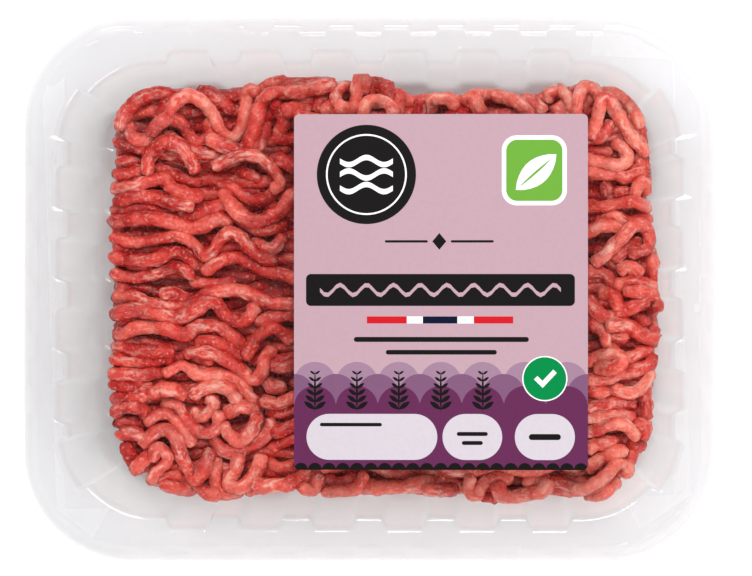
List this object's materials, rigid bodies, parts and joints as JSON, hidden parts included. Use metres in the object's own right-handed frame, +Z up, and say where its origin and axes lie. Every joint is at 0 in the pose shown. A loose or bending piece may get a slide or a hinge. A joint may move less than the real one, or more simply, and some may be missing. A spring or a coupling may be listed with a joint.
{
  "type": "meat tray pack",
  "caption": "Shut clear plastic tray of raw minced meat, with fluted walls, a flat rim with a turned-down notched lip, a sealed film lid and a printed label.",
  "frame": {"origin": "middle of the tray's foot, on the surface it rests on", "axes": "+X along the long side of the tray, +Y along its short side towards the top of the label, +Z up through the film lid"},
  "size_m": [0.227, 0.178, 0.0406],
  "materials": {
    "tray": "clear, slightly frosted",
    "mince": "moist raw meat",
    "lid_film": "clear film",
    "label": "printed, satin"
  },
  "bodies": {
    "root": {"tray": "tray", "mince": "mince", "lid_film": "lid_film", "label": "label"}
  },
  "joints": []
}
